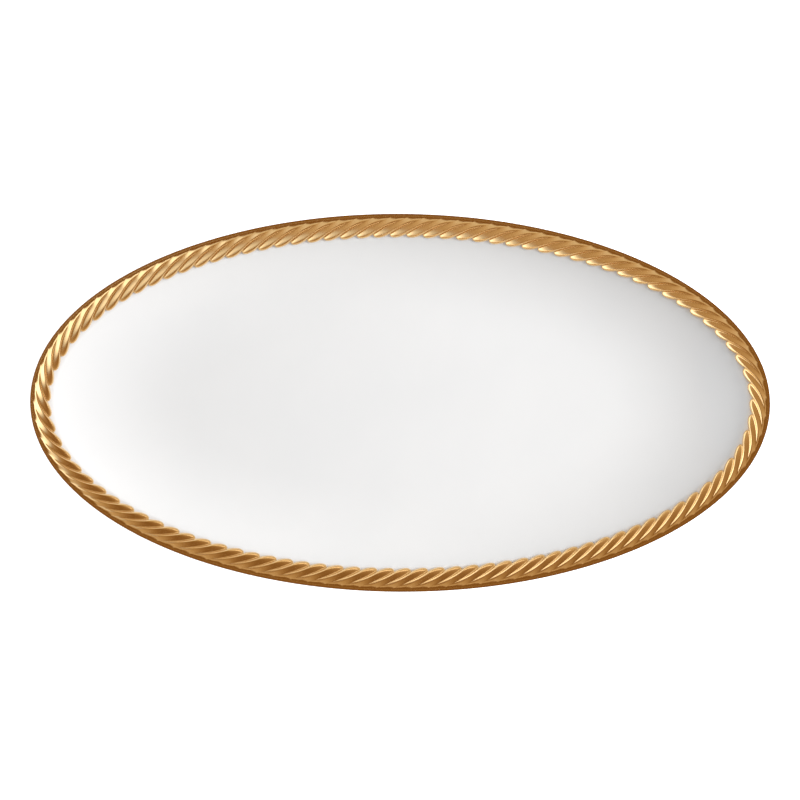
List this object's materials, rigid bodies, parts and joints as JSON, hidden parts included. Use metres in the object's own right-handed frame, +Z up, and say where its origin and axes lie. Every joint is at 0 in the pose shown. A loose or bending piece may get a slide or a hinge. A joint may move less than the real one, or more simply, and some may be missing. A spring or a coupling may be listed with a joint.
{
  "type": "serving platter",
  "caption": "Oval white porcelain serving platter: a shallow well on a low foot ring, with a gilded rope-twist border and a smooth gilt edge.",
  "frame": {"origin": "on the table, under the centre of the oval, in the plane of the foot ring's lowest face", "axes": "+X along the oval's long axis, +Y along its short axis, +Z up out of the well"},
  "size_m": [0.546, 0.279, 0.034],
  "materials": {
    "glazed_porcelain": "polished",
    "unglazed_porcelain": "matte",
    "gilding": "satin"
  },
  "bodies": {
    "root": {"porcelain_body": "glazed_porcelain", "foot_ring": "unglazed_porcelain", "rope_rim": "gilding", "gilt_edge_band": "gilding"}
  },
  "joints": []
}
